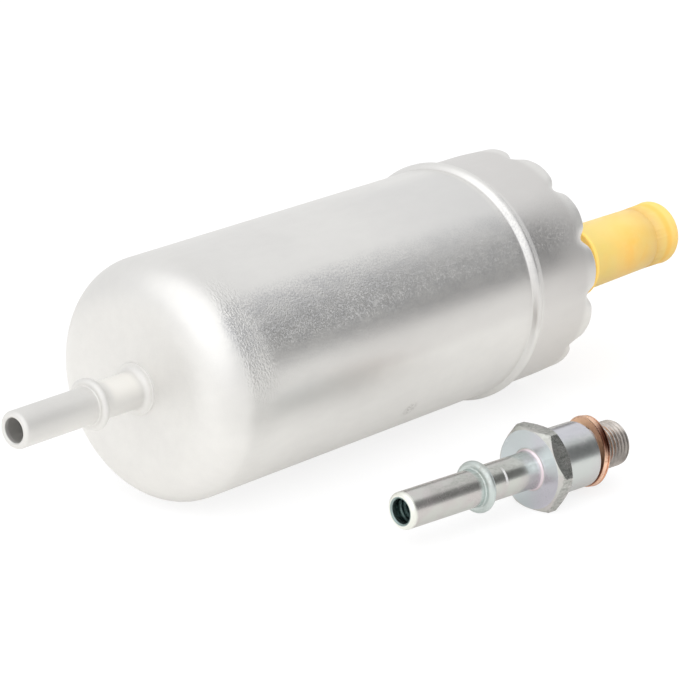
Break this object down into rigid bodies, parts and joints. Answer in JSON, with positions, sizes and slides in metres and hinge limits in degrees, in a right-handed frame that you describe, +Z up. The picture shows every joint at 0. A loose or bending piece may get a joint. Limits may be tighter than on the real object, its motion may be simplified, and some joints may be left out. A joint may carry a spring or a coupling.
{
  "type": "fuel pump",
  "caption": "In-line electric fuel pump in a crimped aluminium can with a quick-connect inlet spigot, a capped threaded outlet, and its loose hexagonal outlet fitting with a copper washer.",
  "frame": {"origin": "on the pump's axis, at the middle of the plain wall that a strap clamps", "axes": "+X along the pump's axis from the inlet to the outlet, +Z up with the pump lying on its side, -Y towards the loose outlet fitting"},
  "size_m": [0.1946, 0.0951, 0.0544],
  "materials": {
    "can_aluminium": "satin etched",
    "cover_plastic": "moulded",
    "plated_steel": "clear zinc plated",
    "bare_steel": "machined",
    "flux_steel": "rolled",
    "plate_aluminium": "die cast",
    "bush_bronze": "sintered",
    "terminal_brass": "machined",
    "copper": "soft annealed",
    "winding_copper": "enamelled",
    "magnet_ferrite": "ground ferrite",
    "hub_plastic": "moulded",
    "brush_carbon": "pressed carbon",
    "poppet_plastic": "moulded",
    "seal_rubber": "matte",
    "cap_plastic": "soft translucent"
  },
  "bodies": {
    "pump": {"housing_can": "can_aluminium", "end_cover": "cover_plastic", "outlet_insert": "plated_steel", "cover_seal": "seal_rubber", "pump_seal": "seal_rubber", "intake_plate": "plate_aluminium", "cam_ring": "bare_steel", "base_plate": "plate_aluminium", "pump_screws": "bare_steel", "relief_spring": "bare_steel", "relief_plug": "terminal_brass", "front_bush": "bush_bronze", "rear_bush": "bush_bronze", "flux_ring": "flux_steel", "magnet_upper": "magnet_ferrite", "magnet_lower": "magnet_ferrite", "magnet_clips": "bare_steel", "brush_holder": "cover_plastic", "positive_brush_spring": "bare_steel", "negative_brush_spring": "bare_steel", "positive_brush_lead": "copper", "negative_brush_lead": "copper", "positive_terminal": "terminal_brass", "negative_terminal": "terminal_brass", "positive_nut": "plated_steel", "negative_nut": "plated_steel", "terminal_washers": "plated_steel"},
    "rotor": {"pump_rotor": "bare_steel", "pump_rollers": "bare_steel", "rotor_key": "bare_steel", "armature_shaft": "bare_steel", "armature_core": "flux_steel", "armature_winding": "winding_copper", "commutator_hub": "hub_plastic", "commutator_bars": "copper", "thrust_washers": "poppet_plastic"},
    "relief_valve": {"relief_ball": "bare_steel"},
    "brush_positive": {"positive_brush": "brush_carbon"},
    "brush_negative": {"negative_brush": "brush_carbon"},
    "cap": {"transit_cap": "cap_plastic"},
    "outlet_fitting": {"fitting_body": "plated_steel", "valve_seat": "terminal_brass", "valve_spring": "bare_steel"},
    "check_valve": {"valve_poppet": "poppet_plastic", "valve_seal": "seal_rubber"},
    "washer": {"copper_washer": "copper"}
  },
  "joints": [
    {"name": "rotor_spin", "type": "hinge", "parent": "pump", "child": "rotor", "pos_m": [0, 0, 0], "axis": [1, 0, 0], "continuous": true},
    {"name": "relief_lift", "type": "slide", "parent": "pump", "child": "relief_valve", "axis": [-1, 0, 0], "range_m": [0, 0.0015], "stiffness_N_per_m": 400, "springref_m": -0.009, "deforming": ["relief_spring"]},
    {"name": "positive_brush_slide", "type": "slide", "parent": "pump", "child": "brush_positive", "axis": [1, 0, 0], "range_m": [0, 0.003], "stiffness_N_per_m": 60, "springref_m": -0.012, "deforming": ["positive_brush_spring", "positive_brush_lead"]},
    {"name": "negative_brush_slide", "type": "slide", "parent": "pump", "child": "brush_negative", "axis": [1, 0, 0], "range_m": [0, 0.003], "stiffness_N_per_m": 60, "springref_m": -0.012, "deforming": ["negative_brush_spring", "negative_brush_lead"]},
    {"name": "cap_pull", "type": "slide", "parent": "pump", "child": "cap", "axis": [1, 0, 0], "range_m": [0, 0.07]},
    {"name": "fitting_away", "type": "slide", "parent": "pump", "child": "outlet_fitting", "axis": [0, -1, 0], "range_m": [0, 0.05]},
    {"name": "valve_lift", "type": "slide", "parent": "outlet_fitting", "child": "check_valve", "axis": [-0.9942, 0.108, 0], "range_m": [0, 0.003], "stiffness_N_per_m": 60, "springref_m": -0.01, "deforming": ["valve_spring"]},
    {"name": "washer_slide", "type": "slide", "parent": "outlet_fitting", "child": "washer", "axis": [0.9942, -0.108, 0], "range_m": [-0.0002, 0.012]}
  ]
}
